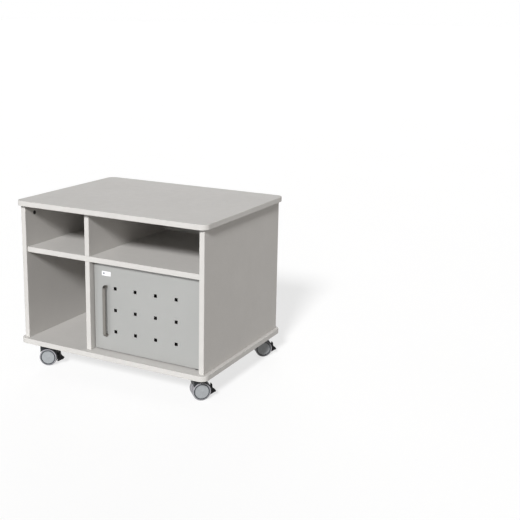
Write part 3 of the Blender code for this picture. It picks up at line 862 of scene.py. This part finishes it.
def wheel_meshes(sign):
    """Body with its flange, hub disc and tread of one wheel, for the side that sign says. The flange is coloured
    dark as painted shade of a groove between hub disc and tread.

    The profiles are (radius, distance from the hood's middle), in millimetres.
    """
    body = [
        (3.4, 4.9),
        (9, 4.9),
        (9.5, 5.4),
        (9.8, 9),
        (25.6, 9),
        (26, 5.4),
        (26.5, 4.9),
        (28.4, 4.9),
        (28.4, 23.9),
        (28.1, 24.6),
        (27.4, 24.9),
        (25.4, 24.9),
        (24.8, 24.6),
        (24.5, 24.0),
        (24.4, 21.5),
        (3.4, 21.5),
    ]
    disc = [
        (0, 21.8),
        (24.1, 21.8),
        (24.2, 24.2),
        (24.0, 24.7),
        (23.5, 25.0),
        (22.8, 25.0),
        (22.2, 24.75),
        (21.4, 24.55),
        (14, 24.7),
        (6.5, 24.85),
        (6.0, 24.9),
        (5.6, 25.15),
        (5.0, 25.25),
        (0, 25.3),
    ]
    shoulder, near, far = 2.4, 5.1, 24.9
    flat = WHEEL_RADIUS / MM - shoulder
    tread = [(28.55, near), (flat, near)]
    tread += arc((flat, near + shoulder), shoulder, -75, 0, 5)
    tread += arc((flat, far - shoulder), shoulder, 0, 90, 6)
    tread += [(28.9, far), (28.55, 24.6)]
    made = []
    for profile in (body, disc, tread):
        made.append(turned([(r * MM, y * MM) for r, y in profile], 96, sign))
    return made


def plate(name, mats):
    """The mounting plate with its stem pin and four screws."""
    node = f"{name}_caster_plate"
    bm = from_cad(node)
    soften(bm, 0.35 * MM, 2, 50)
    finished(node + "_fine", bm, mats["zinc"], "carcass", (node,))
    low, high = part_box(node)
    centre = (low + high) / 2
    under = high.z - PLATE_THICKNESS
    for i, (sx, sy) in enumerate(((1, 1), (-1, 1), (-1, -1), (1, -1))):
        head = screw(3.6 * MM, 2.0 * MM, 1.6 * MM, 2.2 * MM)
        x, y = centre.x + sx * PLATE_SCREW_REACH, centre.y + sy * PLATE_SCREW_REACH
        turn = Matrix.Rotation(math.radians(-90), 4, "X") @ Matrix.Rotation(math.radians(23 * i), 4, "Y")
        spot = Matrix.Translation((x, y, under)) @ turn
        piece = f"{name}_plate_screw_{i + 1}"
        finished(piece, head, mats["zinc"], "carcass", (), spot, 30)


def casters(mats):
    hood = as_mesh("caster_hood", hood_mesh())
    lever = as_mesh("brake_lever", lever_mesh())
    axle_profile = [
        (0, -17 * MM),
        (2.6 * MM, -17 * MM),
        (3 * MM, -16.6 * MM),
        (3 * MM, 16.6 * MM),
        (2.6 * MM, 17 * MM),
        (0, 17 * MM),
    ]
    axle = as_mesh("caster_axle", turned(axle_profile, 32))
    wheels = {}
    for which, sign in (("outer", -1), ("inner", 1)):
        parts = zip(("rim", "disc", "tread"), wheel_meshes(sign))
        wheels[which] = [as_mesh(f"{which}_{part}", bm) for part, bm in parts]
    for name in CASTERS:
        plate(name, mats)
        spin = JOINTS[f"{name}_outer_spin"]
        along = Vector(spin["axis"])
        forward = Vector((along.y, -along.x, 0))
        spot = Matrix.Translation(spin["pos_m"]) @ Matrix((forward, along, (0, 0, 1))).transposed().to_4x4()
        swivel, brake = f"{name}_swivel", f"{name}_brake"
        node = f"{name}_caster_hood"
        placed(f"{name}_hood_fine", hood, mats["black"], swivel, (node,), spot, 30)
        node = f"{name}_caster_axle"
        placed(f"{name}_axle_fine", axle, mats["zinc"], swivel, (node,), spot)
        node = f"{name}_brake_lever"
        placed(f"{name}_lever_fine", lever, mats["lever"], brake, (node,), spot, 30)
        for which, (rim, disc, tread) in wheels.items():
            roller = f"{name}_{which}_roller"
            node = f"{name}_{which}_wheel"
            placed(f"{name}_{which}_rim", rim, mats["rim"], roller, (node,), spot, 35)
            placed(f"{name}_{which}_disc", disc, mats["disc"], roller, (), spot, 35)
            node = f"{name}_{which}_tread"
            placed(f"{node}_fine", tread, mats["tread"], roller, (node,), spot, 40)


# ---------------------------------------------------------------- studio

HORIZON = ((0.481, 0.12), (0.487, 0.9), (0.58, 0.9), (0.76, 0.09))
WARM_TINT = (0.97, 0.915, 0.85, 1)
FLOOR_HALF = 400
CAMERA_SPOT = (1.81183, -2.77466, 1.28283)
CAMERA_RIGHT = (0.880455, 0.473959, 0.012765)
CAMERA_UP = (-0.113331, 0.184237, 0.976326)
CAMERA_LENS = 62.695
CAMERA_SHIFT = (30 / 520, -40 / 520)
CAMERA_REACH = 1000


def studio_world():
    """A low bright horizon under a dim ceiling, brighter behind the stand, and plain white to look at.

    Height and the other two ranges are read from the ray's direction, and the horizon is at half height.
    """
    world = bpy.data.worlds.new("studio_world")
    world.use_nodes = True
    tree = world.node_tree
    direction = tree.nodes.new("ShaderNodeTexCoord").outputs["Generated"]
    parts = tree.nodes.new("ShaderNodeSeparateXYZ")
    tree.links.new(direction, parts.inputs["Vector"])
    ramp = tree.nodes.new("ShaderNodeValToRGB")
    stops = ramp.color_ramp.elements
    for place, level in HORIZON:
        stop = stops.new(place)
        stop.color = (level, level, level, 1)
    stops.remove(stops[-1])
    stops.remove(stops[0])
    height = tree.nodes.new("ShaderNodeMapRange")
    height.inputs["From Min"].default_value = -1
    tree.links.new(parts.outputs["Z"], height.inputs["Value"])
    tree.links.new(height.outputs["Result"], ramp.inputs["Fac"])
    behind = tree.nodes.new("ShaderNodeMapRange")
    for socket, value in (("From Min", 0.2), ("From Max", 1.0), ("To Min", 1.0), ("To Max", 1.2)):
        behind.inputs[socket].default_value = value
    tree.links.new(parts.outputs["Y"], behind.inputs["Value"])
    right = tree.nodes.new("ShaderNodeMapRange")
    right.inputs["From Min"].default_value = 0.1
    right.inputs["From Max"].default_value = 0.8
    tree.links.new(parts.outputs["X"], right.inputs["Value"])
    warm = tree.nodes.new("ShaderNodeMix")
    warm.data_type = "RGBA"
    warm.blend_type = "MULTIPLY"
    tree.links.new(right.outputs["Result"], warm.inputs["Factor"])
    tree.links.new(ramp.outputs["Color"], warm.inputs[6])
    warm.inputs[7].default_value = WARM_TINT
    lamp = tree.nodes["Background"]
    tree.links.new(warm.outputs[2], lamp.inputs["Color"])
    tree.links.new(behind.outputs["Result"], lamp.inputs["Strength"])
    paper = tree.nodes.new("ShaderNodeBackground")
    paper.inputs["Color"].default_value = (1, 1, 1, 1)
    seen = tree.nodes.new("ShaderNodeMixShader")
    tree.links.new(tree.nodes.new("ShaderNodeLightPath").outputs["Is Camera Ray"], seen.inputs["Fac"])
    tree.links.new(lamp.outputs["Background"], seen.inputs[1])
    tree.links.new(paper.outputs["Background"], seen.inputs[2])
    tree.links.new(seen.outputs["Shader"], tree.nodes["World Output"].inputs["Surface"])
    return world


def sun(name, azimuth, elevation, strength, softness):
    """A distant light that leaves no glare. Azimuth is in degrees from the front, towards the right side."""
    data = bpy.data.lights.new(name, "SUN")
    data.energy = strength
    data.angle = math.radians(softness)
    lamp = bpy.data.objects.new(name, data)
    bpy.context.scene.collection.objects.link(lamp)
    turn, lift = math.radians(azimuth), math.radians(elevation)
    towards = Vector((math.sin(turn) * math.cos(lift), -math.cos(turn) * math.cos(lift), math.sin(lift)))
    lamp.visible_glossy = False
    lamp.location = towards * 4
    lamp.rotation_euler = (-towards).to_track_quat("-Z", "Y").to_euler()


def studio():
    scene = bpy.context.scene
    scene.view_settings.view_transform = "Standard"
    scene.world = studio_world()

    bm = bmesh.new()
    bmesh.ops.create_grid(bm, x_segments=1, y_segments=1, size=FLOOR_HALF)
    mesh = bpy.data.meshes.new("floor")
    bm.to_mesh(mesh)
    bm.free()
    floor = bpy.data.objects.new("floor", mesh)
    scene.collection.objects.link(floor)
    mesh.materials.append(floor_look())
    floor.visible_diffuse = False

    sun("key_light", azimuth=13, elevation=31.8, strength=3.98, softness=10)
    sun("back_fill", azimuth=212, elevation=9, strength=1.1, softness=40)

    camera_data = bpy.data.cameras.new("camera")
    camera_data.sensor_width = 36
    camera_data.lens = CAMERA_LENS
    camera_data.shift_x, camera_data.shift_y = CAMERA_SHIFT
    camera_data.clip_end = CAMERA_REACH
    camera = bpy.data.objects.new("camera", camera_data)
    scene.collection.objects.link(camera)
    right, up = Vector(CAMERA_RIGHT).normalized(), Vector(CAMERA_UP).normalized()
    turn = Matrix((right, up, right.cross(up))).transposed().to_4x4()
    camera.matrix_world = Matrix.Translation(CAMERA_SPOT) @ turn
    scene.camera = camera


MATS = {
    "board": board_look(),
    "band": band_look(),
    "door": door_look(),
    "nickel": metal_look("satin_nickel", (0.295, 0.28, 0.26), 0.36, (1, 1, 0.04), 900),
    "zinc": metal_look("zinc_plated", (0.46, 0.465, 0.46), 0.4, (1, 1, 1), 500),
    # The cam fittings' zinc is coloured near black as painted shade of their recesses.
    "cam": metal_look("zinc_painted_recess_shade", (0.1, 0.098, 0.095), 0.45, (1, 1, 1), 600),
    "black": plastic_look("black_nylon", (0.015, 0.017, 0.02), 0.46, 900, 0.15, 0.3),
    "lever": plastic_look("lever_nylon", (0.006, 0.006, 0.007), 0.55, 900, 0.15, 0.18),
    # The wheel flange's dark grey is painted shade of a groove between hub disc and tread.
    "rim": plastic_look("flange_nylon_painted_groove_shade", (0.06, 0.068, 0.074), 0.42, 800, 0.12),
    "disc": cap_look(),
    "tread": tread_look(),
}
label_low, label_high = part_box("door_label")
MATS["label"] = label_look((label_low.x + LABEL_MARK_INSET, (label_low.z + label_high.z) / 2))

studio()
cabinet(MATS)
door(MATS)
casters(MATS)
